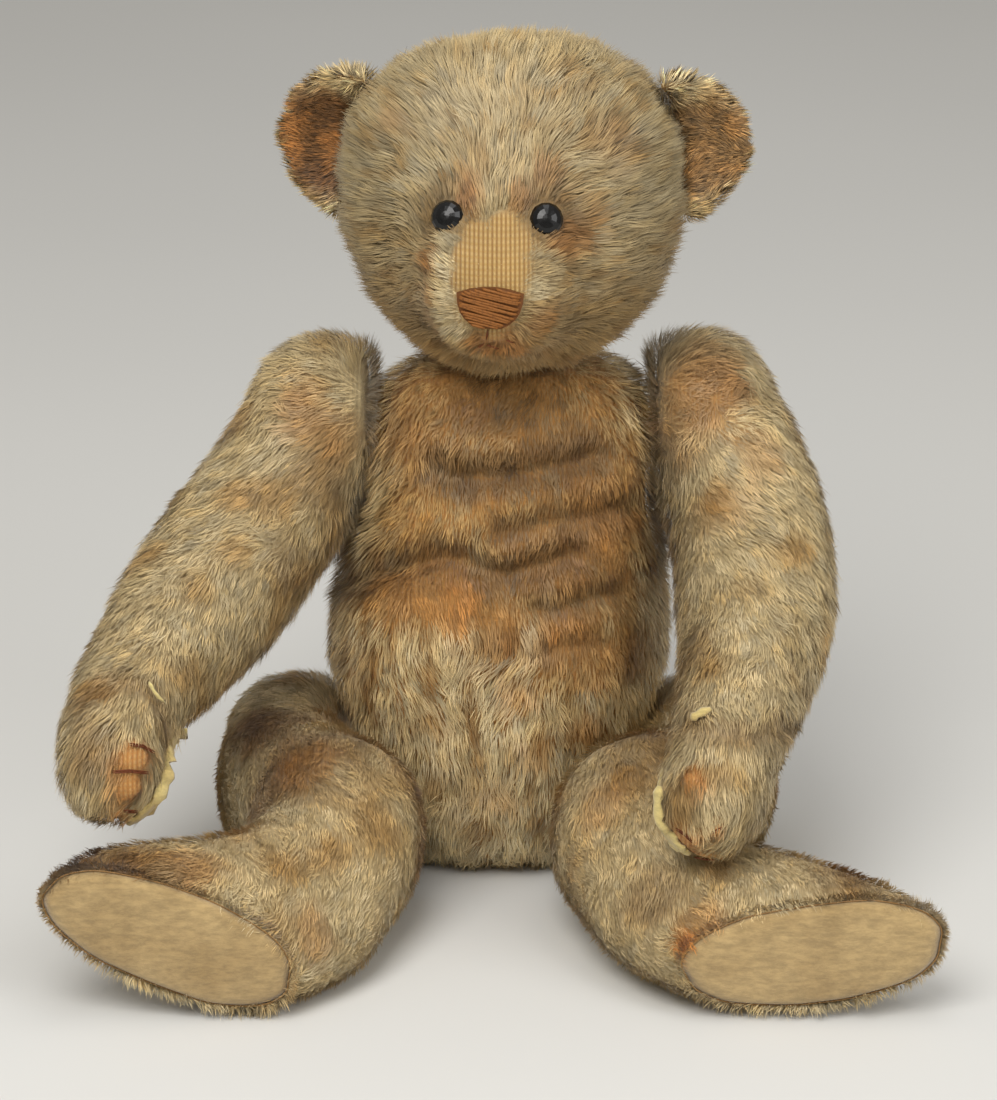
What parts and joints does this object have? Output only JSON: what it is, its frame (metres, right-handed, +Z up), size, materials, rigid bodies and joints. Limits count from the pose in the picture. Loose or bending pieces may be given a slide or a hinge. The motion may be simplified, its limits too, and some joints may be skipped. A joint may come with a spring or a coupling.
{
  "type": "threadbare jointed teddy bear",
  "caption": "Worn mohair teddy bear sitting with its legs out, disc-jointed at the neck, shoulders and hips, with felt soles and boot-button eyes.",
  "frame": {"origin": "middle of the flat that the seat of the torso rests on, on the floor", "axes": "+Z up, the bear faces -Y, so its own left arm and leg are on the +X side"},
  "size_m": [0.2667, 0.1866, 0.2649],
  "materials": {
    "mohair": "short matted mohair pile, pale gold faded to beige",
    "worn_mohair": "thin worn mohair, orange backing cloth showing",
    "ear_mohair": "brown worn mohair",
    "sole_felt": "tan wool felt, rubbed",
    "pad_felt": "pale yellow wool felt",
    "floss": "rust-brown cotton floss",
    "button": "polished black, like a boot button",
    "fibreboard": "pressed fibreboard",
    "steel": "dull steel"
  },
  "bodies": {
    "torso": {"torso": "worn_mohair", "neck_body_disc": "fibreboard", "neck_body_washer": "steel", "left_shoulder_body_disc": "fibreboard", "left_shoulder_body_washer": "steel", "left_hip_body_disc": "fibreboard", "left_hip_body_washer": "steel", "right_shoulder_body_disc": "fibreboard", "right_shoulder_body_washer": "steel", "right_hip_body_disc": "fibreboard", "right_hip_body_washer": "steel"},
    "head": {"head": "mohair", "left_ear": "ear_mohair", "left_eye": "button", "right_ear": "ear_mohair", "right_eye": "button", "nose_stitching": "floss", "mouth_stitching": "floss", "neck_head_disc": "fibreboard", "neck_head_washer": "steel", "neck_pin": "steel"},
    "left_arm": {"left_arm": "mohair", "left_paw_cover": "mohair", "left_paw_pad": "pad_felt", "left_shoulder_arm_disc": "fibreboard", "left_shoulder_arm_washer": "steel", "left_shoulder_pin": "steel"},
    "right_arm": {"right_arm": "mohair", "right_paw_cover": "mohair", "right_paw_pad": "pad_felt", "right_shoulder_arm_disc": "fibreboard", "right_shoulder_arm_washer": "steel", "right_shoulder_pin": "steel"},
    "left_leg": {"left_leg": "mohair", "left_sole": "sole_felt", "left_hip_leg_disc": "fibreboard", "left_hip_leg_washer": "steel", "left_hip_pin": "steel"},
    "right_leg": {"right_leg": "mohair", "right_sole": "sole_felt", "right_hip_leg_disc": "fibreboard", "right_hip_leg_washer": "steel", "right_hip_pin": "steel"}
  },
  "joints": [
    {"name": "neck", "type": "hinge", "parent": "torso", "child": "head", "pos_m": [0.005, 0, 0.16515], "axis": [0, 0, 1], "continuous": true},
    {"name": "left_shoulder", "type": "hinge", "parent": "torso", "child": "left_arm", "pos_m": [0.0485, 0, 0.139], "axis": [-1, 0, 0], "range_deg": [0, 100]},
    {"name": "right_shoulder", "type": "hinge", "parent": "torso", "child": "right_arm", "pos_m": [-0.0385, 0, 0.139], "axis": [-1, 0, 0], "range_deg": [0, 150]},
    {"name": "left_hip", "type": "hinge", "parent": "torso", "child": "left_leg", "pos_m": [0.046, 0, 0.028], "axis": [-1, 0, 0], "range_deg": [-110, 0]},
    {"name": "right_hip", "type": "hinge", "parent": "torso", "child": "right_leg", "pos_m": [-0.046, 0, 0.028], "axis": [-1, 0, 0], "range_deg": [-110, 0]}
  ]
}
